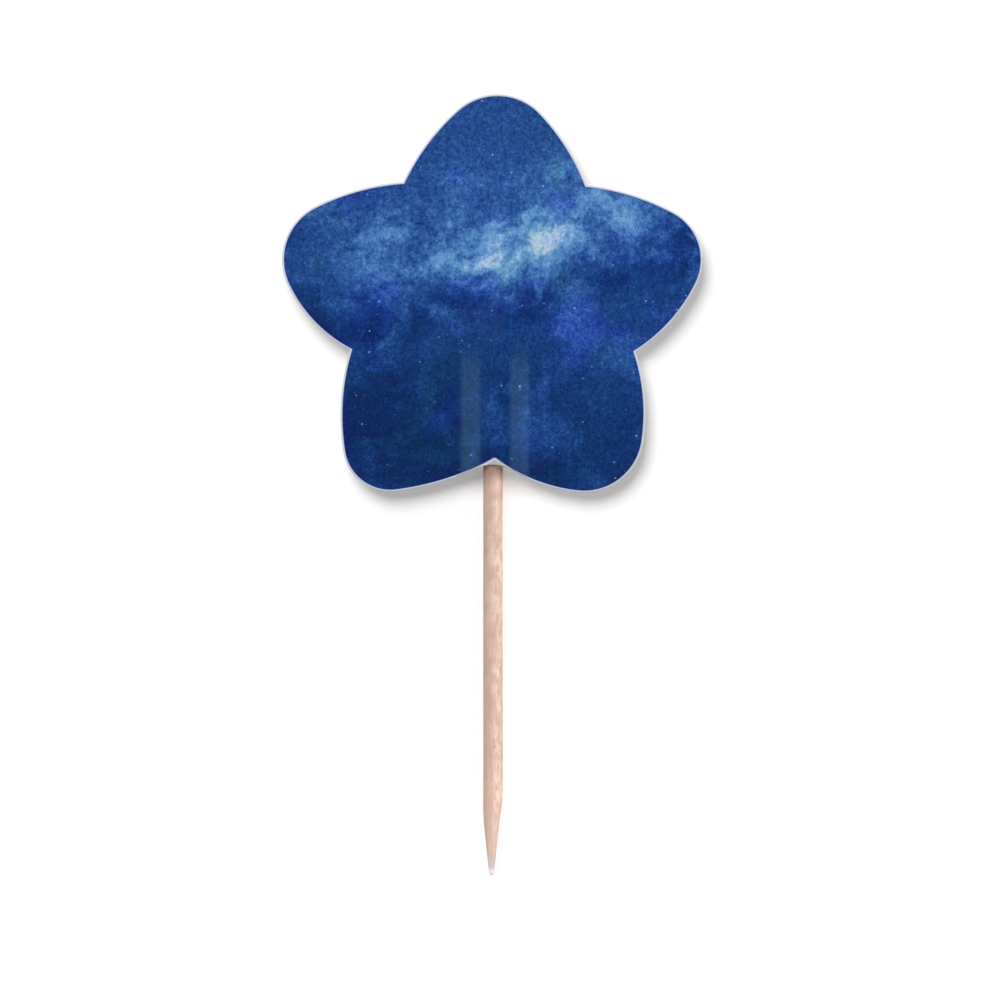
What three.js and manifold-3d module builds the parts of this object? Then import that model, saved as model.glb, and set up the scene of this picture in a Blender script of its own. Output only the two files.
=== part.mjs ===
// Flag toothpick: a star label, two card stars pressed together round a wooden toothpick.
// Millimetres. +Z runs up the toothpick, the printed face looks along -Y, and the origin is the point.

import * as THREE from "three";
import { mergeVertices } from "three/addons/utils/BufferGeometryUtils.js";
import Module from "manifold-3d";

const wasm = await Module();
wasm.setup();

// Toothpick
const stickDiameter = 2.0;
const stickLength = 55.0;
const pointLength = 7.4;
const pointTipRadius = 0.26;
const pointShoulderRadius = 24.0; // the point runs softly into the shaft
const endBevel = 0.2; // on the hidden upper end

// Star outline. The star is drawn freehand: each lobe points its own way, in degrees anticlockwise from
// the right, and its reach, its tip radius and the radii of its two sides are its own shares of the
// nominal ones. Going anticlockwise, a lobe's first side comes before its tip and its last side after it.
const lobeReach = 22.2; // from the star's centre to a lobe's tip
const lobeTipRadius = 5.8;
const lobeSideRadius = 22.0;
const lobeAngles = [18.0, 87.5, 161.0, 233.0, 307.5];
const lobeReachShares = [1.017, 1.002, 1.003, 0.99, 0.986];
const lobeTipShares = [0.96, 1.06, 1.05, 0.84, 1.06];
const firstSideShares = [0.78, 1.03, 1.08, 1.07, 0.79];
const lastSideShares = [1.12, 1.05, 0.66, 1.29, 0.9];
const lobeShoulderAngle = 44.0; // from a lobe's axis to where its tip arc meets its side arcs
const bottomLobes = [3, 4]; // the toothpick comes out of the notch between these two
const notchRadius = 3.6; // the card is cut round there, and has sharp corners between its other lobes
const starLeftOffset = 0.25; // the star's centre lies this far to the left of the toothpick
const coveredLength = 12.93; // of the toothpick, from the card's edge in the notch up

// Card and adhesive
const frontCardThickness = 0.25;
const backCardThickness = 0.25;
const adhesiveThickness = 0.05; // of each of the two coats
const adhesiveInset = 0.4; // the coats end this far inside the star's edge

// How the card rises over the toothpick
const stickClearance = 0.05; // between the toothpick and each coat
const crestHalfWidth = 0.8;
const slopeWidth = 2.8; // from the crest to where the card lies flat again
const slopeSteps = 10;
const hipLength = 4.0; // the rise dies away over this length past the toothpick's end
const hipSteps = 8;
const hipClearance = 0.1; // from the toothpick's end to where the rise begins to die away

// Edges on a round stretch
const stickSides = 36;
const shoulderSteps = 6;
const tipSteps = 12;
const sideSteps = 10;
const notchSteps = 8;

const cutMargin = 2.0; // by which sheets and cutters run past what they cut

// Finishes
const birchWood = { color: 0xdebca5, roughness: 0.75 };
const printedCard = { color: 0x23509b, roughness: 0.55 };
const whiteCard = { color: 0xf2f1ee, roughness: 0.8 };
const adhesive = { color: 0xe9e4d4, roughness: 0.5 };

const stickRadius = stickDiameter / 2;
const mergeDistance = 1e-6;

const lobes = lobeAngles.map((angle, i) => ({
  axis: THREE.MathUtils.degToRad(angle),
  reach: lobeReach * lobeReachShares[i],
  tipRadius: lobeTipRadius * lobeTipShares[i],
  firstSideRadius: lobeSideRadius * firstSideShares[i],
  lastSideRadius: lobeSideRadius * lastSideShares[i],
}));

// A closed geometry with its vertices merged, as a solid that can be joined and cut.
function toSolid(geometry) {
  const bare = geometry.clone();
  bare.deleteAttribute("normal");
  bare.deleteAttribute("uv");
  const merged = mergeVertices(bare, mergeDistance);
  return new wasm.Manifold(
    new wasm.Mesh({
      numProp: 3,
      vertProperties: new Float32Array(merged.attributes.position.array),
      triVerts: new Uint32Array(merged.index.array),
    }),
  );
}

function toGeometry(solid) {
  const mesh = solid.getMesh();
  const geometry = new THREE.BufferGeometry();
  geometry.setAttribute("position", new THREE.BufferAttribute(new Float32Array(mesh.vertProperties), 3));
  geometry.setIndex(new THREE.BufferAttribute(new Uint32Array(mesh.triVerts), 1));
  geometry.computeVertexNormals();
  return geometry;
}

// Points along an arc without its last one, with which the next stretch begins.
function arcPoints(circle, from, to, steps, clockwise = false) {
  const arc = new THREE.EllipseCurve(circle.x, circle.y, circle.r, circle.r, from, to, clockwise);
  return arc.getPoints(steps).slice(0, -1);
}

// The toothpick, turned from its profile: a rounded tip, a straight cone, a softly rounded shoulder, the
// shaft and a bevelled upper end. The taper is the angle between the cone's side and its axis.
function toothpickGeometry() {
  const coneHeight = pointLength - pointTipRadius;
  const taper =
    Math.atan2(stickRadius, coneHeight) - Math.asin(pointTipRadius / Math.hypot(stickRadius, coneHeight));
  const tip = { x: 0, y: pointTipRadius, r: pointTipRadius };
  const shoulderTop = pointLength + pointShoulderRadius * Math.tan(taper / 2);
  const shoulder = { x: stickRadius - pointShoulderRadius, y: shoulderTop, r: pointShoulderRadius };
  const profile = [
    new THREE.Vector2(0, 0),
    ...arcPoints(tip, -Math.PI / 2, -taper, tipSteps).slice(1),
    new THREE.Vector2(tip.r * Math.cos(taper), tip.y - tip.r * Math.sin(taper)),
    ...arcPoints(shoulder, -taper, 0, shoulderSteps),
    new THREE.Vector2(stickRadius, shoulderTop),
    new THREE.Vector2(stickRadius, stickLength - endBevel),
    new THREE.Vector2(stickRadius - endBevel, stickLength),
    new THREE.Vector2(0, stickLength),
  ];
  return new THREE.LatheGeometry(profile, stickSides).rotateX(Math.PI / 2);
}

// Where two circles { x, y, r } cross, on the right-hand side of the way from the first to the second.
function rightCrossing(a, b) {
  const way = new THREE.Vector2(b.x - a.x, b.y - a.y);
  const distance = way.length();
  const along = (distance * distance + a.r * a.r - b.r * b.r) / (2 * distance);
  const across = Math.sqrt(a.r * a.r - along * along);
  way.divideScalar(distance);
  return new THREE.Vector2(a.x + way.x * along + way.y * across, a.y + way.y * along - way.x * across);
}

// One lobe's tip arc and its two side arcs, which are tangent to it at the shoulder angle. Every edge lies
// the inset's distance inside the star's own.
function lobeArcs({ axis, reach, tipRadius, firstSideRadius, lastSideRadius }, inset) {
  const shoulder = THREE.MathUtils.degToRad(lobeShoulderAngle);
  const from = axis - shoulder;
  const to = axis + shoulder;
  const toTipCentre = reach - tipRadius;
  const tip = { x: toTipCentre * Math.cos(axis), y: toTipCentre * Math.sin(axis), r: tipRadius - inset };
  const side = (angle, radius) => ({
    x: tip.x - (radius - tipRadius) * Math.cos(angle),
    y: tip.y - (radius - tipRadius) * Math.sin(angle),
    r: radius - inset,
  });
  return { first: side(from, firstSideRadius), tip, last: side(to, lastSideRadius), from, to };
}

// The round cut in the notch: a circle below it, which touches the side arcs of the two bottom lobes.
function notchCut(last, first, inset) {
  const radius = notchRadius + inset;
  const centre = rightCrossing({ ...last, r: last.r + radius }, { ...first, r: first.r + radius });
  return { x: centre.x, y: centre.y, r: radius };
}

// The star's outline about its own centre. Each lobe has three arcs, which end where its neighbours' arcs
// begin, or at the round cut in the notch.
function starShape(inset) {
  const arcs = lobes.map((lobe) => lobeArcs(lobe, inset));
  const angleAt = (circle, point) => Math.atan2(point.y - circle.y, point.x - circle.x);
  const [leftBottom, rightBottom] = bottomLobes;
  const ends = arcs.map(({ last }, i) => {
    const next = arcs[(i + 1) % arcs.length].first;
    return i === leftBottom ? notchCut(last, next, inset) : rightCrossing(last, next);
  });
  const cut = ends[leftBottom];
  const cutFrom = angleAt(cut, arcs[leftBottom].last);
  const cutTo = angleAt(cut, arcs[rightBottom].first);
  const points = arcs.flatMap(({ first, tip, last, from, to }, i) => [
    ...arcPoints(first, angleAt(first, ends.at(i - 1)), from, sideSteps),
    ...arcPoints(tip, from, to, tipSteps),
    ...arcPoints(last, to, angleAt(last, ends[i]), sideSteps),
    ...(i === leftBottom ? arcPoints(cut, cutFrom, cutTo, notchSteps, true) : []),
  ]);
  return new THREE.Shape(points);
}

// The toothpick comes out of the notch between the two bottom lobes, whose height sets the star's.
const [leftArcs, rightArcs] = bottomLobes.map((i) => lobeArcs(lobes[i], 0));
const notch = notchCut(leftArcs.last, rightArcs.first, 0);
const starCentreHeight = stickLength - coveredLength - (notch.y + notch.r);

// From 1 down to 0 as the share goes from 0 to 1, level at both ends, as bent card lies.
function easeDown(share) {
  return (1 + Math.cos(Math.PI * THREE.MathUtils.clamp(share, 0, 1))) / 2;
}

// How far the card is lifted off the middle plane over the toothpick: full height over the crest, a slope
// down on each side, and a hip past the toothpick's end.
const crestRise = stickRadius + stickClearance;
const hipBottom = stickLength + hipClearance;
function rise(x, z) {
  const across = easeDown((Math.abs(x) - crestHalfWidth) / slopeWidth);
  const along = easeDown((z - hipBottom) / hipLength);
  return crestRise * across * along;
}

// Where a sheet has its grid lines: at the foot and crest of each slope, at even steps between them, and
// past the star's edge.
function evenSteps(from, length, count) {
  return Array.from({ length: count + 1 }, (_, i) => from + (length * i) / count);
}
const sheetReach = Math.max(...lobes.map((lobe) => lobe.reach)) + cutMargin;
const rightStations = [...evenSteps(crestHalfWidth, slopeWidth, slopeSteps), starLeftOffset + sheetReach];
const xStations = [...rightStations.map((x) => -x).reverse(), ...rightStations];
const zStations = [
  starCentreHeight - sheetReach,
  ...evenSteps(hipBottom, hipLength, hipSteps),
  starCentreHeight + sheetReach,
];

// A closed sheet pressed over the toothpick, between two distances from the middle plane, negative in
// front of it. Both faces are split along the same diagonals, so that neighbouring sheets lie face to face.
function pressedSheet(near, far) {
  const side = Math.sign(far);
  const columns = xStations.length;
  const rows = zStations.length;
  const layer = columns * rows;
  const positions = [near, far].flatMap((distance) =>
    zStations.flatMap((z) => xStations.flatMap((x) => [x, distance + side * rise(x, z), z])),
  );
  const at = (row, column) => row * columns + column;
  const triangles = [];
  const quad = (a, b, c, d) => triangles.push(a, b, c, a, c, d);
  for (let row = 0; row + 1 < rows; row += 1) {
    for (let column = 0; column + 1 < columns; column += 1) {
      const a = at(row, column);
      const b = at(row, column + 1);
      const c = at(row + 1, column + 1);
      const d = at(row + 1, column);
      quad(a, d, c, b);
      quad(a + layer, b + layer, c + layer, d + layer);
    }
  }
  const lastRow = rows - 1;
  const lastColumn = columns - 1;
  const rim = [
    ...Array.from({ length: lastColumn }, (_, i) => at(0, i)),
    ...Array.from({ length: lastRow }, (_, i) => at(i, lastColumn)),
    ...Array.from({ length: lastColumn }, (_, i) => at(lastRow, lastColumn - i)),
    ...Array.from({ length: lastRow }, (_, i) => at(lastRow - i, 0)),
  ];
  rim.forEach((from, i) => {
    const to = rim[(i + 1) % rim.length];
    quad(from, to, to + layer, from + layer);
  });
  if (side > 0) {
    triangles.reverse();
  }
  const geometry = new THREE.BufferGeometry();
  geometry.setAttribute("position", new THREE.Float32BufferAttribute(positions, 3));
  geometry.setIndex(triangles);
  return geometry;
}

// The star's outline, upright and run through the whole thickness, to cut the sheets with.
function starCutter(inset) {
  const depth = 2 * (crestRise + adhesiveThickness + frontCardThickness + backCardThickness + cutMargin);
  const geometry = new THREE.ExtrudeGeometry(starShape(inset), { depth, bevelEnabled: false });
  geometry.translate(0, 0, -depth / 2);
  geometry.rotateX(Math.PI / 2);
  geometry.translate(-starLeftOffset, 0, starCentreHeight);
  return geometry;
}

function starSheet(near, far, inset) {
  return toGeometry(toSolid(pressedSheet(near, far)).intersect(toSolid(starCutter(inset))));
}

function piece(name, geometry, { color, roughness }) {
  const mesh = new THREE.Mesh(geometry, new THREE.MeshStandardMaterial({ color, roughness, metalness: 0 }));
  mesh.name = name;
  return mesh;
}

// The faces of the two labels, as distances from the middle plane
const frontFace = -adhesiveThickness - frontCardThickness;
const backFace = adhesiveThickness + backCardThickness;

const pick = new THREE.Group();
pick.add(
  piece("toothpick", toothpickGeometry(), birchWood),
  piece("front_adhesive", starSheet(0, -adhesiveThickness, adhesiveInset), adhesive),
  piece("back_adhesive", starSheet(0, adhesiveThickness, adhesiveInset), adhesive),
  piece("front_label", starSheet(-adhesiveThickness, frontFace, 0), printedCard),
  piece("back_label", starSheet(adhesiveThickness, backFace, 0), whiteCard),
);

export default pick;
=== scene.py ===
"""Flag toothpick: the looks of a printed star label glued round a wooden toothpick.

Metres, with +Z up the toothpick and the print facing -Y. The sizes below are in millimetres, and they
become metres where a mesh is made.
"""

import math
from typing import NamedTuple

import bpy
import numpy as np
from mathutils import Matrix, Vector, noise

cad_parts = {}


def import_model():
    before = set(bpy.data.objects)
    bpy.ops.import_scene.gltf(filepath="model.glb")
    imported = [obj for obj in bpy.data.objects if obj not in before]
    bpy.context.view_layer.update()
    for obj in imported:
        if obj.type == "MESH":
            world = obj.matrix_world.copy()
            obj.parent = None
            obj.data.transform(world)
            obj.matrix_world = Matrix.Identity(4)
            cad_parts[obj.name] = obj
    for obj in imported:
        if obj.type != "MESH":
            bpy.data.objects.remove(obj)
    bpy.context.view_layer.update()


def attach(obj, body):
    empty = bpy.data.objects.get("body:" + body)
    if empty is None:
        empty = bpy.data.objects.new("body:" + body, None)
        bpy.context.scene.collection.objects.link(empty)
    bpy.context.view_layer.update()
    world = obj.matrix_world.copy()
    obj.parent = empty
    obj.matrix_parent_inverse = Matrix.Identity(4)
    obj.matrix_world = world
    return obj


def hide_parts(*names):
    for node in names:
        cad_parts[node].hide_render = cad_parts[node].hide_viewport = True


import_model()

MM = 0.001

# Toothpick
STICK_RADIUS = 1.0
STICK_LENGTH = 55.0
POINT_LENGTH = 7.4
POINT_TIP_RADIUS = 0.26
POINT_SHOULDER_RADIUS = 24.0
POINT_SHIFT = -0.15  # the point is ground more on its right, so that its middle lies left of the axis
SHIFT_START = 5.0  # the shift is whole up to this height and dies away over the next length
SHIFT_LENGTH = 3.5
END_BEVEL = 0.2

# Star outline: each lobe's direction in degrees, and its own shares of the nominal radii
LOBE_REACH = 22.2
LOBE_TIP_RADIUS = 5.8
LOBE_SIDE_RADIUS = 22.0
LOBE_ANGLES = (18.0, 87.5, 161.0, 233.0, 307.5)
LOBE_REACH_SHARES = (1.017, 1.002, 1.003, 0.99, 0.986)
LOBE_TIP_SHARES = (0.96, 1.06, 1.05, 0.84, 1.06)
FIRST_SIDE_SHARES = (0.78, 1.03, 1.08, 1.07, 0.79)
LAST_SIDE_SHARES = (1.12, 1.05, 0.66, 1.29, 0.9)
LOBE_SHOULDER_ANGLE = 44.0
BOTTOM_LEFT, BOTTOM_RIGHT = 3, 4
NOTCH_RADIUS = 3.6  # of the card's cut between the two bottom lobes
PRINT_NOTCH_RADIUS = 0.15  # of the print there
STAR_LEFT_OFFSET = 0.25
COVERED_LENGTH = 12.93
LABEL_EDGE = STICK_LENGTH - COVERED_LENGTH  # the height of the card's edge on the toothpick

# Card and adhesive
CARD_THICKNESS = 0.25
ADHESIVE_THICKNESS = 0.05
ADHESIVE_INSET = 0.4
COAT_CLEARANCE = 0.002  # between a coat and what it lies on
INNER_FACE = ADHESIVE_THICKNESS
OUTER_FACE = ADHESIVE_THICKNESS + CARD_THICKNESS
PRINT_INSET = 0.2  # the print stops this far inside the cut edge, which leaves a pale rim
PRINT_BLUR = 0.03  # half the width over which the ink ends
EDGE_LINE_WIDTH = 0.14  # of the darker line along the print's edge
EDGE_LINE_FULL_WIDTH = 0.06  # of its part that is nearly at full strength
ROLL_WIDTH = 0.17  # the die rolls the outer face's edge over by this width and depth
ROLL_DEPTH = 0.09
BURR_ROUNDING = 0.03  # of a sheet's other edges

# How the card rises over the toothpick
CREST_RISE = STICK_RADIUS + 0.05
CREST_HALF_WIDTH = 0.8
SLOPE_WIDTH = 2.8
HIP_BOTTOM = STICK_LENGTH + 0.1
HIP_LENGTH = 4.0

# Mesh steps
SIDE_STEPS = 28
TIP_STEPS = 36
NOTCH_STEPS = 12
SHEET_RINGS = 44
EDGE_STEPS = 4
EDGE_BAND = 2.0  # a face's even rings end this many edge widths inside its edge
STICK_SIDES = 120
STICK_RING_STEP = 0.25
TIP_RINGS = 14
SHOULDER_RINGS = 8
BEVEL_RINGS = 3

FRONT = -1
BACK = 1


# Star outline

def circle_crossing(a, b):
    """Where two circles (x, y, radius) cross, on the right-hand side of the way from a to b."""
    way = np.subtract(b[:2], a[:2])
    distance = np.hypot(*way)
    way = way / distance
    along = (distance**2 + a[2] ** 2 - b[2] ** 2) / (2 * distance)
    across = math.sqrt(a[2] ** 2 - along**2)
    return (a[0] + way[0] * along + way[1] * across, a[1] + way[1] * along - way[0] * across)


def lobe_arcs(lobe, inset):
    """One lobe's first side, tip and last side, as circles (x, y, radius), and its shoulders' directions.

    All three lie the inset inside the cut edge.
    """
    axis = math.radians(LOBE_ANGLES[lobe])
    shoulder = math.radians(LOBE_SHOULDER_ANGLE)
    tip_radius = LOBE_TIP_RADIUS * LOBE_TIP_SHARES[lobe]
    to_tip = LOBE_REACH * LOBE_REACH_SHARES[lobe] - tip_radius
    tip = (to_tip * math.cos(axis), to_tip * math.sin(axis), tip_radius - inset)

    def side(angle, share):
        radius = LOBE_SIDE_RADIUS * share
        back = radius - tip_radius
        return (tip[0] - back * math.cos(angle), tip[1] - back * math.sin(angle), radius - inset)

    first = side(axis - shoulder, FIRST_SIDE_SHARES[lobe])
    last = side(axis + shoulder, LAST_SIDE_SHARES[lobe])
    return first, tip, last, axis - shoulder, axis + shoulder


def notch_circle(last, first, radius):
    """The circle below the notch that touches the side arcs of the two bottom lobes."""
    grown = [(x, y, r + radius) for x, y, r in (last, first)]
    return (*circle_crossing(*grown), radius)


def direction(circle, point, near):
    """The direction from a circle's centre to a point, as the turn that lies closest to a given one."""
    turn = math.atan2(point[1] - circle[1], point[0] - circle[0])
    return near + (turn - near + math.pi) % (2 * math.pi) - math.pi


def arc_points(circle, start, end, steps):
    """Points along an arc, without its last one."""
    angles = np.linspace(start, end, steps, endpoint=False)
    x = circle[0] + circle[2] * np.cos(angles)
    y = circle[1] + circle[2] * np.sin(angles)
    return np.stack([x, y], 1)


def star_outline(inset, notch_radius=NOTCH_RADIUS):
    """The star's outline about its own centre, that far inside the cut edge."""
    arcs = [lobe_arcs(lobe, inset) for lobe in range(len(LOBE_ANGLES))]
    ends = [circle_crossing(arcs[i][2], arcs[(i + 1) % len(arcs)][0]) for i in range(len(arcs))]
    left_side, right_side = arcs[BOTTOM_LEFT][2], arcs[BOTTOM_RIGHT][0]
    cut = notch_circle(left_side, right_side, notch_radius + inset)
    ends[BOTTOM_LEFT] = cut[:2]
    cut_start = direction(cut, left_side, math.pi)
    cut_end = direction(cut, right_side, 0.0)
    stretches = []
    for i, (first, tip, last, shoulder_start, shoulder_end) in enumerate(arcs):
        start = direction(first, ends[i - 1], shoulder_start)
        end = direction(last, ends[i], shoulder_end)
        stretches.append(arc_points(first, start, shoulder_start, SIDE_STEPS))
        stretches.append(arc_points(tip, shoulder_start, shoulder_end, TIP_STEPS))
        stretches.append(arc_points(last, shoulder_end, end, SIDE_STEPS))
        if i == BOTTOM_LEFT:
            stretches.append(arc_points(cut, cut_start, cut_end, NOTCH_STEPS))
    return np.concatenate(stretches)


NOTCH_SIDES = (lobe_arcs(BOTTOM_LEFT, 0)[2], lobe_arcs(BOTTOM_RIGHT, 0)[0])
NOTCH = notch_circle(*NOTCH_SIDES, NOTCH_RADIUS)
STAR_CENTRE = np.array([-STAR_LEFT_OFFSET, LABEL_EDGE - (NOTCH[1] + NOTCH[2])])
SHARP_NOTCH = STAR_CENTRE + circle_crossing(*NOTCH_SIDES)  # where the two sides would meet


# Sheets pressed over the toothpick

def ease_down(share):
    """From 1 down to 0 as the share goes from 0 to 1, level at both ends."""
    return (1 + np.cos(np.pi * np.clip(share, 0, 1))) / 2


def rise(x, z):
    """How far the card is lifted off the middle plane over the toothpick."""
    across = ease_down((np.abs(x) - CREST_HALF_WIDTH) / SLOPE_WIDTH)
    along = ease_down((z - HIP_BOTTOM) / HIP_LENGTH)
    return CREST_RISE * across * along


def mesh_object(name, vertices, faces, smooth=True):
    """A mesh object of points in millimetres."""
    mesh = bpy.data.meshes.new(name)
    mesh.from_pydata((np.asarray(vertices) * MM).tolist(), [], faces)
    mesh.polygons.foreach_set("use_smooth", [smooth] * len(mesh.polygons))
    mesh.update()
    obj = bpy.data.objects.new(name, mesh)
    bpy.context.scene.collection.objects.link(obj)
    return obj


def shrunk(outline, distance):
    """Rings from near the centre out to an outline, all at one distance from the middle plane."""
    return [(outline * i / SHEET_RINGS, distance) for i in range(1, SHEET_RINGS + 1)]


def rolled(inset, width, depth, face, inward):
    """Rings round an edge that rolls over from a face to the cut wall. The last one lies on the wall."""
    rings = []
    for i in range(EDGE_STEPS + 1):
        turn = math.pi / 2 * i / EDGE_STEPS
        outline = star_outline(inset + width * (1 - math.sin(turn)))
        rings.append((outline, face + inward * depth * (1 - math.cos(turn))))
    return rings


def ring_faces(rings, count):
    """The quads between rings of that many points each."""
    faces = []
    for ring in range(rings - 1):
        a, b = ring * count, (ring + 1) * count
        for i in range(count):
            j = (i + 1) % count
            faces.append((a + i, a + j, b + j, b + i))
    return faces


def star_sheet(name, side, rings):
    """A closed sheet of (outline, distance) rings, from the middle of one face to that of the other."""
    count = len(rings[0][0])
    vertices = []
    for outline, distance in rings:
        x, z = (outline + STAR_CENTRE).T
        vertices.extend(np.stack([x, side * (distance + rise(x, z)), z], 1))
    faces = ring_faces(len(rings), count)
    last = (len(rings) - 1) * count
    x, z = STAR_CENTRE
    for ring_start, distance, flip in ((0, rings[0][1], True), (last, rings[-1][1], False)):
        vertices.append((x, side * (distance + float(rise(x, z))), z))
        for i in range(count):
            pair = (ring_start + i, ring_start + (i + 1) % count)
            faces.append((pair[::-1] if flip else pair) + (len(vertices) - 1,))
    if side == FRONT:
        faces = [face[::-1] for face in faces]
    return mesh_object(name, vertices, faces)


# Toothpick

def stick_profile():
    """The toothpick's (radius, height) from the point up: tip, cone, shoulder, shaft and bevel."""
    cone = POINT_LENGTH - POINT_TIP_RADIUS
    tip_share = POINT_TIP_RADIUS / math.hypot(STICK_RADIUS, cone)
    taper = math.atan2(STICK_RADIUS, cone) - math.asin(tip_share)
    shoulder_top = POINT_LENGTH + POINT_SHOULDER_RADIUS * math.tan(taper / 2)

    def on_tip(turn):
        return (POINT_TIP_RADIUS * math.cos(turn), POINT_TIP_RADIUS * (1 + math.sin(turn)))

    def on_shoulder(turn):
        radius = STICK_RADIUS - POINT_SHOULDER_RADIUS * (1 - math.cos(turn))
        return (radius, shoulder_top + POINT_SHOULDER_RADIUS * math.sin(turn))

    def on_bevel(share):
        return (STICK_RADIUS - END_BEVEL * share, STICK_LENGTH - END_BEVEL * (1 - share))

    def straight(start, end):
        """Even steps from one point to another, without either."""
        steps = int((end[1] - start[1]) / STICK_RING_STEP)
        way = np.subtract(end, start)
        return [tuple(np.add(start, way * i / steps)) for i in range(1, steps)]

    tip = [on_tip(turn) for turn in np.linspace(-math.pi / 2, -taper, TIP_RINGS)[1:]]
    shoulder = [on_shoulder(turn) for turn in np.linspace(-taper, 0, SHOULDER_RINGS)]
    shaft_top = (STICK_RADIUS, STICK_LENGTH - END_BEVEL)
    bevel = [on_bevel(i / BEVEL_RINGS) for i in range(BEVEL_RINGS + 1)]
    return tip + straight(tip[-1], shoulder[0]) + shoulder + straight(shoulder[-1], shaft_top) + bevel


GROOVE_DEPTH = 0.016
GROOVE_SCALE = (4.5, 4.5, 0.16)  # waves a millimetre, so that the grooves run along the stick
HOLLOW_DEPTH = 0.010
HOLLOW_SCALE = (0.9, 0.9, 0.10)
HOLLOW_PLACE = 7.0  # keeps the hollows' pattern apart from that of the grooves
HOLLOW_BIAS = 0.2


def stick_relief(x, y, z):
    """How far the wood's surface lies inside the turned one: fine grooves and long shallow hollows."""
    fine = noise.noise(Vector((x * GROOVE_SCALE[0], y * GROOVE_SCALE[1], z * GROOVE_SCALE[2])))
    hollow_x = x * HOLLOW_SCALE[0] + HOLLOW_PLACE
    hollow = noise.noise(Vector((hollow_x, y * HOLLOW_SCALE[1], z * HOLLOW_SCALE[2])))
    return GROOVE_DEPTH * max(0.0, fine) + HOLLOW_DEPTH * max(0.0, hollow + HOLLOW_BIAS)


def toothpick():
    """The turned stick with its relief and its uneven point."""
    profile = stick_profile()

    def shift(z):
        return POINT_SHIFT * float(ease_down((z - SHIFT_START) / SHIFT_LENGTH))

    vertices = []
    for radius, z in profile:
        for i in range(STICK_SIDES):
            turn = 2 * math.pi * i / STICK_SIDES
            x, y = math.cos(turn), math.sin(turn)
            depth = stick_relief(x * radius, y * radius, z) * radius / STICK_RADIUS
            vertices.append((x * (radius - depth) + shift(z), y * (radius - depth), z))
    faces = ring_faces(len(profile), STICK_SIDES)
    top = (len(profile) - 1) * STICK_SIDES
    point, end = len(vertices), len(vertices) + 1
    vertices += [(shift(0), 0, 0), (0, 0, STICK_LENGTH)]
    for i in range(STICK_SIDES):
        j = (i + 1) % STICK_SIDES
        faces += [(j, i, point), (top + i, top + j, end)]
    return mesh_object("birch_stick", vertices, faces)


# Materials

NOISE_MIDDLE = 0.5


class Pattern(NamedTuple):
    """A noise. Its height share draws it out along the toothpick, and its place moves it."""

    waves: float  # a millimetre
    layers: float = 2.0  # of finer and finer waves on top
    strength: float = 0.5  # of each layer beside the one before
    place: tuple = None
    height_share: float = None


class Span(NamedTuple):
    """What the values from low to high are mapped to. Beyond them the nearer end's value holds."""

    low: float
    high: float
    at_low: float = 0.0
    at_high: float = 1.0
    smooth: bool = True


def srgb(red, green, blue):
    """An 8-bit screen colour as the linear colour that a shader takes."""
    def linear(value):
        value /= 255
        return value / 12.92 if value <= 0.04045 else ((value + 0.055) / 1.055) ** 2.4
    return (linear(red), linear(green), linear(blue), 1.0)


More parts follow.
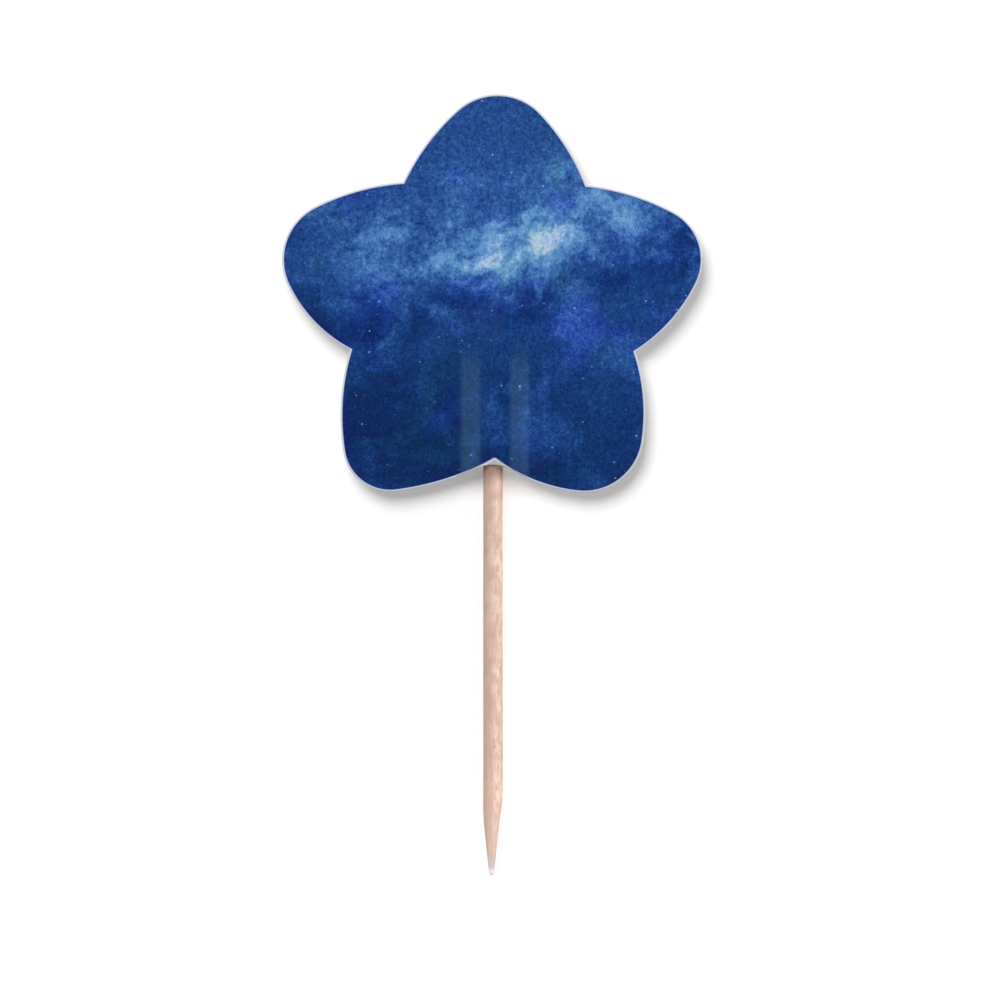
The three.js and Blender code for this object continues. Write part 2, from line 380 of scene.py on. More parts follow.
class Shader:
    """A material and short calls for the nodes that make it. A position is in millimetres."""

    def __init__(self, name):
        self.material = bpy.data.materials.new(name)
        self.material.use_nodes = True
        self.tree = self.material.node_tree
        self.surface = self.tree.nodes["Principled BSDF"]
        coordinates = self.tree.nodes.new("ShaderNodeTexCoord")
        self.position = self.vector("SCALE", coordinates.outputs["Object"], scale=1 / MM)

    def connect(self, socket, value):
        """Link a node's output to the socket, or set the socket to a plain value."""
        if isinstance(value, bpy.types.NodeSocket):
            self.tree.links.new(value, socket)
        elif value is not None:
            socket.default_value = value

    def vector(self, operation, a, b=None, scale=None):
        node = self.tree.nodes.new("ShaderNodeVectorMath")
        node.operation = operation
        self.connect(node.inputs[0], a)
        self.connect(node.inputs[1], b)
        if scale is not None:
            self.connect(node.inputs["Scale"], scale)
        return node.outputs["Value" if operation == "DOT_PRODUCT" else "Vector"]

    def scaled(self, vector, shares):
        """The vector or colour with a share of each of its three parts."""
        return self.vector("MULTIPLY", vector, shares)

    def brightened(self, colour, factor):
        """The colour times a plain value."""
        return self.vector("SCALE", colour, scale=factor)

    def part(self, socket, axis):
        node = self.tree.nodes.new("ShaderNodeSeparateXYZ")
        self.connect(node.inputs[0], socket)
        return node.outputs[axis]

    def math(self, operation, a, b=None):
        node = self.tree.nodes.new("ShaderNodeMath")
        node.operation = operation
        self.connect(node.inputs[0], a)
        self.connect(node.inputs[1], b)
        return node.outputs[0]

    def plus(self, a, b):
        return self.math("ADD", a, b)

    def minus(self, a, b):
        return self.math("SUBTRACT", a, b)

    def product(self, *values):
        result = values[0]
        for value in values[1:]:
            result = self.math("MULTIPLY", result, value)
        return result

    def span(self, value, span):
        node = self.tree.nodes.new("ShaderNodeMapRange")
        node.interpolation_type = "SMOOTHSTEP" if span.smooth else "LINEAR"
        node.inputs["From Min"].default_value = span.low
        node.inputs["From Max"].default_value = span.high
        node.inputs["To Min"].default_value = span.at_low
        node.inputs["To Max"].default_value = span.at_high
        self.connect(node.inputs["Value"], value)
        return node.outputs["Result"]

    def hump(self, value, low, middle, high):
        """From 0 at one value up to 1 in the middle and down to 0 at another."""
        return self.product(self.span(value, Span(low, middle)), self.span(value, Span(high, middle)))

    def noise(self, position, pattern, output="Fac"):
        """The pattern's noise, mostly from 0.25 to 0.75."""
        if pattern.height_share is not None:
            position = self.scaled(position, (1.0, 1.0, pattern.height_share))
        if pattern.place is not None:
            position = self.vector("ADD", position, pattern.place)
        node = self.tree.nodes.new("ShaderNodeTexNoise")
        self.connect(node.inputs["Vector"], position)
        node.inputs["Scale"].default_value = pattern.waves
        node.inputs["Detail"].default_value = pattern.layers
        node.inputs["Roughness"].default_value = pattern.strength
        return node.outputs[output]

    def centred_noise(self, position, pattern):
        """The pattern's noise, above and below 0."""
        return self.minus(self.noise(position, pattern), NOISE_MIDDLE)

    def cells(self, position, cells):
        """Cells that many to a millimetre, with distances counted in cells."""
        node = self.tree.nodes.new("ShaderNodeTexVoronoi")
        self.connect(node.inputs["Vector"], position)
        node.inputs["Scale"].default_value = cells
        return node

    def mix(self, share, a, b):
        node = self.tree.nodes.new("ShaderNodeMix")
        node.data_type = "RGBA"
        self.connect(node.inputs["Factor"], share)
        colours = [socket for socket in node.inputs if socket.type == "RGBA"]
        self.connect(colours[0], a)
        self.connect(colours[1], b)
        return [socket for socket in node.outputs if socket.type == "RGBA"][0]

    def ramp(self, value, stops):
        node = self.tree.nodes.new("ShaderNodeValToRGB")
        self.connect(node.inputs["Fac"], value)
        elements = node.color_ramp.elements
        while len(elements) < len(stops):
            elements.new(0.5)
        for element, (place, colour) in zip(elements, stops):
            element.position = place
            element.color = colour
        return node.outputs["Color"]

    def attribute(self, name):
        node = self.tree.nodes.new("ShaderNodeAttribute")
        node.attribute_name = name
        return node.outputs["Fac"]

    def bump(self, height, depth):
        """A bump of that depth in millimetres."""
        node = self.tree.nodes.new("ShaderNodeBump")
        node.inputs["Distance"].default_value = depth * MM
        self.connect(node.inputs["Height"], height)
        self.connect(self.surface.inputs["Normal"], node.outputs["Normal"])

    def finish(self, colour, roughness, specular):
        self.connect(self.surface.inputs["Base Color"], colour)
        self.connect(self.surface.inputs["Roughness"], roughness)
        self.surface.inputs["Specular IOR Level"].default_value = specular
        return self.material


# Print: where the sky is light or dark. A tone of 0 is the first of its colours and 1 the last.
SKY_STOPS = (
    (0.00, srgb(0, 25, 74)),
    (0.12, srgb(4, 38, 91)),
    (0.25, srgb(13, 53, 112)),
    (0.38, srgb(27, 68, 134)),
    (0.52, srgb(46, 90, 157)),
    (0.66, srgb(72, 122, 182)),
    (0.82, srgb(102, 150, 202)),
    (1.00, srgb(168, 188, 218)),
)
FLAT = (1.0, 0.0, 1.0)  # leaves the depth out, so that the pattern runs straight over the rise
WARP = Pattern(0.10)
WARP_REACH = 6.0
SKY_LIGHT = Span(42.0, 70.0, 0.20, 0.38)  # over the height
CORNER_DIRECTION = (0.60, 0.0, 0.80)  # away from the dark lower left
CORNER_DARK = Span(46.0, 31.0, 0.0, 0.13)
BAND_MIDDLE = (0.0, 0.0, 64.5)
BAND_NORMAL = (-0.26, 0.0, 0.966)
BAND_EDGES = (-7.0, 0.8, 9.5)  # across the band: its lower edge, its middle and its upper edge
CORE_EDGES = (-19.0, 6.0, 23.0)  # from left to right
CORE_LIGHT = 0.17
BILLOWS = Pattern(0.17, 6.0, 0.56, (57.0, 0.0, 140.0))
BILLOW_SPAN = Span(0.41, 0.62)
BILLOW_LIGHT = 0.18
BILLOW_CORE_LIGHT = 0.25
LANE_EDGES = (-9.5, -5.0, -1.0)  # across the band
LANE_BREAKS = Pattern(0.20, 6.0, 0.7)
LANE_SPAN = Span(0.62, 0.44)
LANE_DARK = 0.20
HAZE = Pattern(0.12, 6.0, 0.60, (64.0, 0.0, -117.0))
HAZE_LIGHT = Span(0.45, 0.64, 0.0, 0.20)
HAZE_FADE = Span(73.0, 64.0, 0.25, 1.0)  # over the height

# Print: its dust
FINE_DUST = Pattern(1.7, 4.0, 0.85, (19.0, 0.0, 3.0))
FINE_DUST_SHARE = 0.74
COARSE_DUST = Pattern(0.75, 1.0, 0.7, (11.0, 0.0, 8.0))
COARSE_DUST_SHARE = Span(0.0, 1.0, 0.08, 0.46, smooth=False)  # over the raggedness
RAGGED = Pattern(0.10, 3.0, 0.5, (23.0, 0.0, -9.0))
RAGGED_SPAN = Span(0.44, 0.58)
RAGGED_FADE = Span(74.0, 66.0)  # over the height
DUST_DEPTH = Span(0.10, 0.45, 0.46, 1.22, smooth=False)  # over the tone

# Print: its tints and grain
VIOLET = Pattern(0.14, 3.0, 0.6, (31.0, 0.0, 5.0))
VIOLET_SPAN = Span(0.50, 0.64)
VIOLET_IN_LANE = 0.8
VIOLET_FADE = Span(0.80, 0.50)  # over the tone
VIOLET_TINT = (1.00, 0.85, 1.17)
TEAL = Pattern(0.11, 4.0, 0.6, (-17.0, 0.0, 43.0))
TEAL_SPAN = Span(0.50, 0.66)
TEAL_TINT = (1.02, 1.12, 0.90)
GRAIN = Pattern(3.0, 2.0, 0.9)
GRAIN_DEPTH = Span(0.35, 0.80, 2.8, 1.2, smooth=False)  # over the tone


class StarLayer(NamedTuple):
    """Stars with one in each cell. The greater the rarity, the fewer are bright."""

    cells: float  # a millimetre
    radius: float
    rarity: float
    strength: float
    colour: tuple


# Print: many faint stars, fewer small ones and a few with a soft glow
STAR_LAYERS = (
    StarLayer(2.20, 0.090, 2.0, 0.46, srgb(110, 152, 220)),
    StarLayer(0.95, 0.118, 2.4, 0.92, srgb(160, 194, 248)),
    StarLayer(0.32, 0.150, 2.2, 0.95, srgb(192, 214, 255)),
    StarLayer(0.17, 0.520, 1.8, 0.45, srgb(84, 112, 250)),
    StarLayer(0.17, 0.170, 1.8, 0.80, srgb(190, 200, 255)),
)
STAR_CORE = 0.3  # the share of its radius within which a star is at its brightest
STAR_LIGHT = Span(0.12, 0.40, 0.62, 1.06, smooth=False)  # over the tone: fainter where the sky is dark

# Print: a painted highlight on the slopes over the toothpick, its edge, and painted shade on the card in
# the notch
# Painted highlight: paler colour on the card's slopes on both sides of the toothpick
SLOPE_HIGHLIGHT_MIDDLE = 0.2
SLOPE_HIGHLIGHT_INNER = Span(1.2, 1.9)  # to each side of the middle
SLOPE_HIGHLIGHT_OUTER = Span(3.8, 3.1)
SLOPE_HIGHLIGHT_SHARE = Span(STICK_LENGTH + 0.6, STICK_LENGTH - 4.0, 0.0, 0.055)  # over the height
SLOPE_HIGHLIGHT_COLOUR = srgb(150, 200, 226)
EDGE_LINE_SHARE = 0.55
EDGE_LINE_COLOUR = srgb(10, 28, 72)
RIM_COLOUR = srgb(172, 184, 214)
MARGIN_COLOUR = srgb(200, 206, 222)
NOTCH_SHADE_SLOPE = 0.58  # of the painted shade's upper edges, which follow the print
NOTCH_SHADE_BLUR = 0.08
NOTCH_SHADE_WIDTH = Span(1.8, 1.3)  # to each side of the notch
NOTCH_SHADE_COLOUR = srgb(180, 174, 171)  # painted shade on the bare card in the notch

# Print: its surface
PRINT_RELIEF = Pattern(5.5, 3.0, 0.6)
PRINT_BUMP = 0.004
PRINT_SHEEN = Pattern(0.9, 3.0, 0.6)
PRINT_ROUGHNESS = Span(0.3, 0.7, 0.50, 0.62)
PRINT_SPECULAR = 0.06


def sky_bands(shader, swirled):
    """The pale band that rises to the right, its bright core and the broken dark lane below it."""
    across = shader.vector("DOT_PRODUCT", shader.vector("SUBTRACT", swirled, BAND_MIDDLE), BAND_NORMAL)
    band = shader.hump(across, *BAND_EDGES)
    core = shader.hump(shader.part(swirled, "X"), *CORE_EDGES)
    breaks = shader.span(shader.noise(swirled, LANE_BREAKS), LANE_SPAN)
    lane = shader.product(shader.hump(across, *LANE_EDGES), breaks)
    return band, core, lane


def sky_tone(shader, swirled, height, band, core, lane):
    """Lighter at the top and dark at the lower left, with the band, its billows, the lane and haze."""
    corner = shader.vector("DOT_PRODUCT", swirled, CORNER_DIRECTION)
    tone = shader.minus(shader.span(height, SKY_LIGHT), shader.span(corner, CORNER_DARK))
    billows = shader.span(shader.noise(swirled, BILLOWS), BILLOW_SPAN)
    billow_light = shader.plus(shader.product(core, BILLOW_CORE_LIGHT), BILLOW_LIGHT)
    tone = shader.plus(tone, shader.product(band, billows, billow_light))
    tone = shader.plus(tone, shader.product(band, core, CORE_LIGHT))
    tone = shader.minus(tone, shader.product(lane, LANE_DARK))
    haze = shader.span(shader.noise(swirled, HAZE), HAZE_LIGHT)
    return shader.plus(tone, shader.product(haze, shader.span(height, HAZE_FADE)))


def dusty(shader, flat, swirled, height, tone, bright):
    """The tone with fine dust all over, and coarse dust where the sky is ragged or bright."""
    fine = shader.centred_noise(flat, FINE_DUST)
    coarse = shader.centred_noise(swirled, COARSE_DUST)
    ragged = shader.span(shader.noise(swirled, RAGGED), RAGGED_SPAN)
    ragged = shader.math("MAXIMUM", ragged, bright)
    ragged = shader.product(ragged, shader.span(height, RAGGED_FADE))
    coarse = shader.product(coarse, shader.span(ragged, COARSE_DUST_SHARE))
    dust = shader.plus(shader.product(fine, FINE_DUST_SHARE), coarse)
    return shader.plus(tone, shader.product(dust, shader.span(tone, DUST_DEPTH)))


def tinted(shader, swirled, tone, lane, colour):
    """The colour with violet and teal patches."""
    violet = shader.span(shader.noise(swirled, VIOLET), VIOLET_SPAN)
    violet = shader.math("MAXIMUM", violet, shader.product(lane, VIOLET_IN_LANE))
    violet = shader.product(violet, shader.span(tone, VIOLET_FADE))
    colour = shader.mix(violet, colour, shader.scaled(colour, VIOLET_TINT))
    teal = shader.span(shader.noise(swirled, TEAL), TEAL_SPAN)
    return shader.mix(teal, colour, shader.scaled(colour, TEAL_TINT))


def grained(shader, flat, tone, colour):
    """The colour with the fine grain of the print."""
    grain = shader.product(shader.centred_noise(flat, GRAIN), shader.span(tone, GRAIN_DEPTH))
    return shader.brightened(colour, shader.plus(grain, 1.0))


def starry(shader, flat, tone, colour):
    """The colour with all layers of stars."""
    light = shader.span(tone, STAR_LIGHT)
    for layer in STAR_LAYERS:
        cells = shader.cells(flat, layer.cells)
        reach = layer.radius * layer.cells
        spot = shader.span(cells.outputs["Distance"], Span(reach, reach * STAR_CORE))
        brightness = shader.math("POWER", shader.part(cells.outputs["Color"], "X"), layer.rarity)
        share = shader.product(spot, brightness, light, layer.strength)
        colour = shader.mix(share, colour, layer.colour)
    return colour


def slope_highlighted(shader, x, height, colour):
    """The colour with a painted highlight: paler colour on the slopes over the toothpick."""
    side = shader.math("ABSOLUTE", shader.minus(x, SLOPE_HIGHLIGHT_MIDDLE))
    slopes = shader.product(shader.span(side, SLOPE_HIGHLIGHT_INNER), shader.span(side, SLOPE_HIGHLIGHT_OUTER))
    return shader.mix(shader.product(slopes, shader.span(height, SLOPE_HIGHLIGHT_SHARE)), colour, SLOPE_HIGHLIGHT_COLOUR)


def edged(shader, x, height, colour):
    """The colour with a darker line along the edge, then the pale rim, the margin and painted shade on
    the bare card in the notch.
    """
    line = shader.product(shader.attribute("edge_line"), EDGE_LINE_SHARE)
    colour = shader.mix(line, colour, EDGE_LINE_COLOUR)
    colour = shader.mix(shader.attribute("rim"), colour, RIM_COLOUR)
    colour = shader.mix(shader.attribute("margin"), colour, MARGIN_COLOUR)
    # Painted shade on the bare card below the notch
    notch_x, notch_z = (float(value) for value in SHARP_NOTCH)
    side = shader.math("ABSOLUTE", shader.minus(x, notch_x))
    slanted = shader.plus(height, shader.product(side, NOTCH_SHADE_SLOPE))
    below = shader.span(slanted, Span(notch_z, notch_z - NOTCH_SHADE_BLUR))
    bare = shader.product(shader.attribute("rim"), below, shader.span(side, NOTCH_SHADE_WIDTH))
    return shader.mix(bare, colour, NOTCH_SHADE_COLOUR)


def print_material():
    """A night sky in print: deep blue, a pale cloud band rising to the right, dust, haze and stars."""
    shader = Shader("star_print")
    flat = shader.scaled(shader.position, FLAT)
    swirl = shader.vector("SUBTRACT", shader.noise(flat, WARP, output="Color"), (NOISE_MIDDLE,) * 3)
    swirled = shader.vector("ADD", flat, shader.vector("SCALE", swirl, scale=WARP_REACH))
    x, height = shader.part(flat, "X"), shader.part(flat, "Z")

    band, core, lane = sky_bands(shader, swirled)
    tone = sky_tone(shader, swirled, height, band, core, lane)
    tone = dusty(shader, flat, swirled, height, tone, shader.product(band, core))
    colour = shader.ramp(tone, SKY_STOPS)
    colour = tinted(shader, swirled, tone, lane, colour)
    colour = grained(shader, flat, tone, colour)
    colour = starry(shader, flat, tone, colour)
    colour = slope_highlighted(shader, x, height, colour)
    colour = edged(shader, x, height, colour)

    shader.bump(shader.noise(shader.position, PRINT_RELIEF), PRINT_BUMP)
    roughness = shader.span(shader.noise(flat, PRINT_SHEEN), PRINT_ROUGHNESS)
    return shader.finish(colour, roughness, PRINT_SPECULAR)


# White card
CARD_FIBRES = Pattern(2.4, 6.0, 0.68)
CARD_FIBRE_SPAN = Span(0.34, 0.66)
CARD_FIBRE_DARK = srgb(236, 234, 229)
CARD_FIBRE_PALE = srgb(246, 245, 242)
CARD_CLOUDS = Pattern(0.22, 3.0, 0.5, (5.0, 9.0, 2.0))
CARD_CLOUD_SHARE = Span(0.35, 0.65, 0.0, 0.35)
CARD_CLOUD_COLOUR = srgb(238, 239, 240)
CARD_BUMP = 0.010
CARD_ROUGHNESS = Span(0.3, 0.7, 0.74, 0.86)
CARD_SPECULAR = 0.3


def card_material():
    """Plain white card with a faint fibre mottle."""
    shader = Shader("white_card")
    fibres = shader.noise(shader.position, CARD_FIBRES)
    colour = shader.mix(shader.span(fibres, CARD_FIBRE_SPAN), CARD_FIBRE_DARK, CARD_FIBRE_PALE)
    clouds = shader.noise(shader.position, CARD_CLOUDS)
    colour = shader.mix(shader.span(clouds, CARD_CLOUD_SHARE), colour, CARD_CLOUD_COLOUR)
    shader.bump(fibres, CARD_BUMP)
    return shader.finish(colour, shader.span(fibres, CARD_ROUGHNESS), CARD_SPECULAR)


# Adhesive
COAT_CLOUDS = Pattern(1.2, 4.0, 0.6)
COAT_CLOUD_SPAN = Span(0.35, 0.65)
COAT_DARK = srgb(222, 214, 194)
COAT_PALE = srgb(238, 233, 218)
VOID_CELLS = 2.2
VOID_SHARE = Span(0.16, 0.05, 0.0, 0.5)
VOID_COLOUR = srgb(200, 190, 168)
COAT_BUMP = 0.01
COAT_ROUGHNESS = Span(0.3, 0.7, 0.30, 0.48)
COAT_SPECULAR = 0.45


def adhesive_material():
    """A cream coat of pressure-sensitive adhesive with small voids."""
    shader = Shader("adhesive_coat")
    clouds = shader.noise(shader.position, COAT_CLOUDS)
    colour = shader.mix(shader.span(clouds, COAT_CLOUD_SPAN), COAT_DARK, COAT_PALE)
    voids = shader.cells(shader.position, VOID_CELLS).outputs["Distance"]
    colour = shader.mix(shader.span(voids, VOID_SHARE), colour, VOID_COLOUR)
    shader.bump(clouds, COAT_BUMP)
    return shader.finish(colour, shader.span(clouds, COAT_ROUGHNESS), COAT_SPECULAR)


# Wood
SHAFT = Span(3.0, 9.0, 0.35, 1.0)  # over the height: mottles and pores are fainter on the point
MOTTLES = Pattern(1.5, 3.0, 0.6, height_share=0.45)
MOTTLE_SPAN = Span(0.36, 0.64)
MOTTLE_DARK = srgb(219, 184, 162)
MOTTLE_PALE = srgb(246, 216, 197)
PINKS = Pattern(1.2, 3.0, 0.6, (4.0, 8.0, 3.0), height_share=0.40)
PINK_SHARE = Span(0.48, 0.64, 0.0, 0.5)
PINK_COLOUR = srgb(232, 190, 180)
FIBRES = Pattern(5.0, 4.0, 0.6, height_share=0.08)
FIBRE_SHARE = Span(0.36, 0.58, 0.28, 0.0)
FIBRE_COLOUR = srgb(192, 156, 137)
PORES = Pattern(3.2, 2.0, 0.5, (1.0, 2.0, 9.0), height_share=0.30)
PORE_SHARE = Span(0.60, 0.74, 0.0, 0.48)
PORE_COLOUR = srgb(178, 142, 120)
# Painted shade: the stick's left side is greyed and darkened, as if lit from the right
LEFT_SHADE_DIRECTION = (1.0, 0.20, 0.0)
LEFT_SHADE_WAVES = Pattern(0.8, height_share=0.08)
LEFT_SHADE_WANDER = Span(0.3, 0.7, -0.25, 0.25, smooth=False)
LEFT_SHADE_SHARE = Span(0.30, -0.95, 0.0, 0.76)  # across the stick: the painted shade is strongest on the left
LEFT_SHADE_COLOUR = srgb(190, 160, 144)
SLOW_CHANGES = Pattern(0.35, 2.0, 0.5, (3.0, 1.0, 6.0), height_share=0.20)
SLOW_BRIGHTNESS = Span(0.3, 0.7, 0.90, 1.10, smooth=False)
TIP_GREY_SHARE = Span(3.1, 1.0, 0.0, 0.85)  # over the height
TIP_GREY = srgb(214, 203, 199)
# Painted light: the point's end is made nearly white, which lifts the shade under the round tip
TIP_PAINTED_LIGHT_SHARE = Span(1.0, 0.1, 0.0, 0.90)
TIP_PAINTED_LIGHT = srgb(252, 250, 250)
# Painted shadow: the wood is darkened just below the label, where the card shades the stick
SHADE_UNDER_LABEL_SLANT = 0.5  # the painted shadow reaches lower on the left
SHADE_UNDER_LABEL_SHARE = Span(LABEL_EDGE - 2.57, LABEL_EDGE - 0.37, 0.0, 0.83)
SHADE_UNDER_LABEL_TOP_SLOPE = 0.35  # the painted shadow's upper edge falls away to both sides
SHADE_UNDER_LABEL_TOP = Span(LABEL_EDGE + 0.08, LABEL_EDGE - 0.22)
SHADE_UNDER_LABEL_COLOUR = srgb(140, 114, 100)
PORE_BUMP_SHARE = 0.5
WOOD_BUMP = 0.02
WOOD_ROUGHNESS = Span(0.3, 0.7, 0.62, 0.78)
WOOD_SPECULAR = 0.2


def wood_grain(shader, height, fibres, pores):
    """Tan and pink mottles with darker fibres and short pores."""
    shaft = shader.span(height, SHAFT)
    mottles = shader.product(shader.centred_noise(shader.position, MOTTLES), shaft)
    mottles = shader.plus(mottles, NOISE_MIDDLE)
    colour = shader.mix(shader.span(mottles, MOTTLE_SPAN), MOTTLE_DARK, MOTTLE_PALE)
    pinks = shader.noise(shader.position, PINKS)
    colour = shader.mix(shader.span(pinks, PINK_SHARE), colour, PINK_COLOUR)
    colour = shader.mix(shader.span(fibres, FIBRE_SHARE), colour, FIBRE_COLOUR)
    return shader.mix(shader.product(shader.span(pores, PORE_SHARE), shaft), colour, PORE_COLOUR)


def wood_left_shade_and_changes(shader, colour):
    """The colour with painted shade, greyer and darker, down the left side, then slow changes along the
    length.
    """
    across = shader.vector("DOT_PRODUCT", shader.position, LEFT_SHADE_DIRECTION)
    wander = shader.span(shader.noise(shader.position, LEFT_SHADE_WAVES), LEFT_SHADE_WANDER)
    left_shade = shader.span(shader.plus(across, wander), LEFT_SHADE_SHARE)
    colour = shader.mix(left_shade, colour, LEFT_SHADE_COLOUR)
    slow = shader.noise(shader.position, SLOW_CHANGES)
    return shader.brightened(colour, shader.span(slow, SLOW_BRIGHTNESS))


def wood_ends(shader, x, height, colour):
    """The colour with a grey tip, painted nearly white at its end, and a painted shadow below the label.
    """
    colour = shader.mix(shader.span(height, TIP_GREY_SHARE), colour, TIP_GREY)
    colour = shader.mix(shader.span(height, TIP_PAINTED_LIGHT_SHARE), colour, TIP_PAINTED_LIGHT)
    slanted = shader.minus(height, shader.product(x, SHADE_UNDER_LABEL_SLANT))
    shaded = shader.plus(height, shader.product(shader.math("ABSOLUTE", x), SHADE_UNDER_LABEL_TOP_SLOPE))
    shade_under_label = shader.product(shader.span(slanted, SHADE_UNDER_LABEL_SHARE), shader.span(shaded, SHADE_UNDER_LABEL_TOP))
    return shader.mix(shade_under_label, colour, SHADE_UNDER_LABEL_COLOUR)


def wood_material():
    """Bare birch: mottles, fibres and pores, painted shade down the left side, a pale tip painted nearly
    white at its end and a painted shadow below the label.
    """
    shader = Shader("birch_wood")
    x, height = shader.part(shader.position, "X"), shader.part(shader.position, "Z")
    fibres = shader.noise(shader.position, FIBRES)
    pores = shader.noise(shader.position, PORES)
    colour = wood_grain(shader, height, fibres, pores)
    colour = wood_left_shade_and_changes(shader, colour)
    colour = wood_ends(shader, x, height, colour)
    shader.bump(shader.minus(fibres, shader.product(pores, PORE_BUMP_SHARE)), WOOD_BUMP)
    return shader.finish(colour, shader.span(fibres, WOOD_ROUGHNESS), WOOD_SPECULAR)


PRINT = print_material()
CARD = card_material()
ADHESIVE = adhesive_material()
WOOD = wood_material()


# Pieces

def place(obj, node, slot):
    """Ride a piece on the one body, in the node's place. The slot is not used."""
    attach(obj, "root")
    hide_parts(node)


def card_back_rings(inner):
    """Rings from the cut wall to the middle of a card's inner face."""
    edge = rolled(0, BURR_ROUNDING, BURR_ROUNDING, INNER_FACE, 1)
    return edge[::-1] + shrunk(inner, INNER_FACE)[::-1]


class PrintRing(NamedTuple):
    """A ring of the outer face: how far it lies inside the cut edge, and its share of line and rim."""

    inset: float
    edge_line: float
    rim: float


EDGE_LINE_START = PRINT_INSET + EDGE_LINE_WIDTH
PRINT_RINGS = (
    PrintRing(EDGE_LINE_START, 0.0, 0.0),
    PrintRing(PRINT_INSET + EDGE_LINE_FULL_WIDTH, 0.8, 0.0),
    PrintRing(PRINT_INSET + PRINT_BLUR, 1.0, 0.0),
    PrintRing(PRINT_INSET - PRINT_BLUR, 0.0, 1.0),
)


def mark_rings(mesh, name, values):
    """Give each ring's vertices its value, and 0 to the two in the middle of the faces."""
    count = (len(mesh.vertices) - 2) // len(values)
    marks = np.append(np.repeat(values, count), (0.0, 0.0))
    mesh.attributes.new(name, "FLOAT", "POINT").data.foreach_set("value", marks)


def front_star():
    """The printed star: print, pale rim and margin on its outer face, and bare card all over the rest."""
    inner = star_outline(EDGE_BAND * EDGE_LINE_START, PRINT_NOTCH_RADIUS)
    middle = shrunk(inner, OUTER_FACE)
    print_edge = [(star_outline(ring.inset, PRINT_NOTCH_RADIUS), OUTER_FACE) for ring in PRINT_RINGS]
    roll = rolled(0, ROLL_WIDTH - 2 * PRINT_BLUR, ROLL_DEPTH, OUTER_FACE, -1)
    outer_rings = middle + print_edge + roll
    rings = outer_rings + card_back_rings(inner)
    obj = star_sheet("printed_star", FRONT, rings)

    # The print's material covers the outer face: its rings and the first of the two closing fans
    mesh = obj.data
    mesh.materials.append(CARD)
    mesh.materials.append(PRINT)
    count = len(inner)
    index = np.zeros(len(mesh.polygons), int)
    index[:(len(outer_rings) - 1) * count] = 1
    index[-2 * count:-count] = 1
    mesh.polygons.foreach_set("material_index", index)

    before = [0.0] * len(middle)
    after = len(rings) - len(middle) - len(PRINT_RINGS)
    mark_rings(mesh, "edge_line", before + [ring.edge_line for ring in PRINT_RINGS] + [0.0] * after)
    mark_rings(mesh, "rim", before + [ring.rim for ring in PRINT_RINGS] + [1.0] * after)
    mark_rings(mesh, "margin", before + [0.0] * len(PRINT_RINGS) + [1.0] * after)
    place(obj, "front_label", "printed_card")


def back_star():
    """The plain white star behind it."""
    inner = star_outline(EDGE_BAND * ROLL_WIDTH)
    roll = rolled(0, ROLL_WIDTH, ROLL_DEPTH, OUTER_FACE, -1)
    obj = star_sheet("white_star", BACK, shrunk(inner, OUTER_FACE) + roll + card_back_rings(inner))
    obj.data.materials.append(CARD)
    place(obj, "back_label", "white_card")


def coat(name, side, node):
    """One star's coat of adhesive, with round edges."""
    near, far = COAT_CLEARANCE, ADHESIVE_THICKNESS - COAT_CLEARANCE
    half = (far - near) / 2
    inner = star_outline(ADHESIVE_INSET + EDGE_BAND * (far - near))
    far_edge = rolled(ADHESIVE_INSET, half, half, far, -1)
    near_edge = rolled(ADHESIVE_INSET, half, half, near, 1)[-2::-1]
    obj = star_sheet(name, side, shrunk(inner, far) + far_edge + near_edge + shrunk(inner, near)[::-1])
    obj.data.materials.append(ADHESIVE)
    place(obj, node, "adhesive")


def wooden_stick():
    """The toothpick in birch."""
    obj = toothpick()
    obj.data.materials.append(WOOD)
    place(obj, "toothpick", "birch_wood")


front_star()
back_star()
coat("front_coat", FRONT, "front_adhesive")
coat("back_coat", BACK, "back_adhesive")
wooden_stick()


# Floor: a white board just behind the pick, seen from its front only

FLOOR_GAP = 0.50
FLOOR_SIZE = 900.0
FLOOR_WHITE = (0.878, 0.878, 0.878, 1.0)
FLOOR_GLOW = 0.12


def floor_material():
    """White with a faint glow, and clear from behind."""
    material = bpy.data.materials.new("floor_white")
    material.use_nodes = True
    tree = material.node_tree
    tree.nodes.clear()
    output = tree.nodes.new("ShaderNodeOutputMaterial")
    white = tree.nodes.new("ShaderNodeBsdfDiffuse")
    white.inputs["Color"].default_value = FLOOR_WHITE
    glow = tree.nodes.new("ShaderNodeEmission")
    glow.inputs["Strength"].default_value = FLOOR_GLOW
    both = tree.nodes.new("ShaderNodeAddShader")
    clear = tree.nodes.new("ShaderNodeBsdfTransparent")
    geometry = tree.nodes.new("ShaderNodeNewGeometry")
    one_sided = tree.nodes.new("ShaderNodeMixShader")
    tree.links.new(white.outputs[0], both.inputs[0])
    tree.links.new(glow.outputs[0], both.inputs[1])
    tree.links.new(geometry.outputs["Backfacing"], one_sided.inputs[0])
    tree.links.new(both.outputs[0], one_sided.inputs[1])
    tree.links.new(clear.outputs[0], one_sided.inputs[2])
    tree.links.new(one_sided.outputs[0], output.inputs["Surface"])
    return material


def floor():
    """The board. It takes the pick's shadow, blocks no lamp and throws no light back on the pick."""
    y = CREST_RISE + OUTER_FACE + FLOOR_GAP
    half = FLOOR_SIZE / 2
    low, high = STAR_CENTRE[1] - half, STAR_CENTRE[1] + half
    corners = [(-half, y, low), (half, y, low), (half, y, high), (-half, y, high)]
    board = mesh_object("floor", corners, [(0, 1, 2, 3)], smooth=False)
    board.data.materials.append(floor_material())
    board.visible_diffuse = False
    board.visible_glossy = False
    board.visible_transmission = False
    board.visible_shadow = False


floor()


# Light

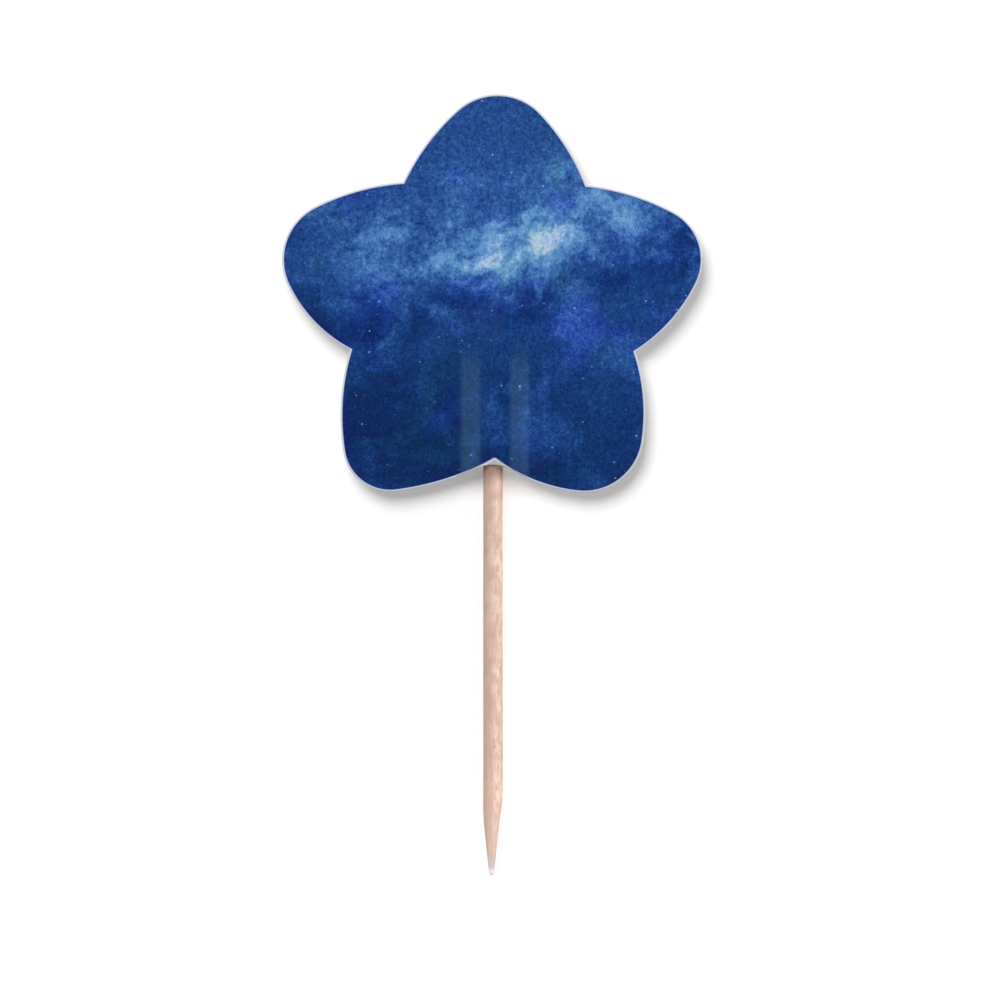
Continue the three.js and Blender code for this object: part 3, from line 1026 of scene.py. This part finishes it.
def sun(name, azimuth, elevation, strength, spread, bounces=None, shadows_of=None):
    """A sun in degrees: azimuth 0 is in front of the print, 90 to its right. The spread is its width."""
    lamp = bpy.data.lights.new(name, "SUN")
    if bounces is not None:
        lamp.cycles.max_bounces = bounces
    lamp.energy = strength
    lamp.angle = math.radians(spread)
    obj = bpy.data.objects.new(name, lamp)
    turn, height = math.radians(azimuth), math.radians(elevation)
    level = math.cos(height)
    source = Vector((math.sin(turn) * level, -math.cos(turn) * level, math.sin(height)))
    obj.rotation_euler = source.to_track_quat("Z", "Y").to_euler()
    if shadows_of is not None:
        obj.light_linking.blocker_collection = shadows_of
    bpy.context.scene.collection.objects.link(obj)


KEY_STRENGTH = 2.65
KEY_PLACE = {"azimuth": -20, "elevation": 31, "spread": 37}
STICK_SHADOW = 0.12  # the share of the key light that the toothpick shades, which keeps its shadow faint

label = bpy.data.collections.new("label")
for piece in ("printed_star", "white_star", "front_coat", "back_coat"):
    label.objects.link(bpy.data.objects[piece])

sun("key", strength=KEY_STRENGTH * (1 - STICK_SHADOW), shadows_of=label, **KEY_PLACE)
sun("key_on_stick", strength=KEY_STRENGTH * STICK_SHADOW, **KEY_PLACE)
sun("right_side", azimuth=92, elevation=8, strength=1.9, spread=40)

# For the back alone: without bounces, none of its light goes on from the card to the floor
sun("back", azimuth=188, elevation=32, strength=2.25, spread=54, bounces=0)

WORLD_FILL = 0.32


def world():
    """A soft white fill, seen as plain white by the camera and in reflections."""
    scene_world = bpy.data.worlds.new("studio")
    bpy.context.scene.world = scene_world
    scene_world.use_nodes = True
    tree = scene_world.node_tree
    tree.nodes.clear()
    output = tree.nodes.new("ShaderNodeOutputWorld")
    fill = tree.nodes.new("ShaderNodeBackground")
    fill.inputs["Strength"].default_value = WORLD_FILL
    white = tree.nodes.new("ShaderNodeBackground")
    for background in (fill, white):
        background.inputs["Color"].default_value = (1.0, 1.0, 1.0, 1.0)
    path = tree.nodes.new("ShaderNodeLightPath")
    seen = path.outputs["Is Camera Ray"]
    for ray in ("Is Glossy Ray", "Is Transmission Ray"):
        node = tree.nodes.new("ShaderNodeMath")
        node.operation = "MAXIMUM"
        tree.links.new(seen, node.inputs[0])
        tree.links.new(path.outputs[ray], node.inputs[1])
        seen = node.outputs[0]
    choice = tree.nodes.new("ShaderNodeMixShader")
    tree.links.new(seen, choice.inputs[0])
    tree.links.new(fill.outputs[0], choice.inputs[1])
    tree.links.new(white.outputs[0], choice.inputs[2])
    tree.links.new(choice.outputs[0], output.inputs["Surface"])


world()
bpy.context.scene.view_settings.view_transform = "Standard"


# Camera: square on to the print, with a long lens

IMAGE_SIZE = 1000
MM_PER_PIXEL = 0.1026
STICK_AXIS_PIXEL = 493.0  # from the photograph's left edge
POINT_PIXEL = 875.0  # from its top edge
LENS = 200.0
SENSOR = 36.0
CLIP_START = 10.0
CLIP_END = 10000.0


def camera():
    """Look along +Y from so far off that a pixel is MM_PER_PIXEL wide at the toothpick."""
    view = bpy.data.cameras.new("camera")
    view.lens = LENS
    view.sensor_width = SENSOR
    view.clip_start = CLIP_START * MM
    view.clip_end = CLIP_END * MM
    obj = bpy.data.objects.new("camera", view)
    middle = IMAGE_SIZE / 2
    x = (middle - STICK_AXIS_PIXEL) * MM_PER_PIXEL
    z = (POINT_PIXEL - middle) * MM_PER_PIXEL
    distance = IMAGE_SIZE * MM_PER_PIXEL * LENS / SENSOR
    obj.location = Vector((x, -distance, z)) * MM
    obj.rotation_euler = (math.pi / 2, 0, 0)
    bpy.context.scene.collection.objects.link(obj)
    bpy.context.scene.camera = obj


camera()
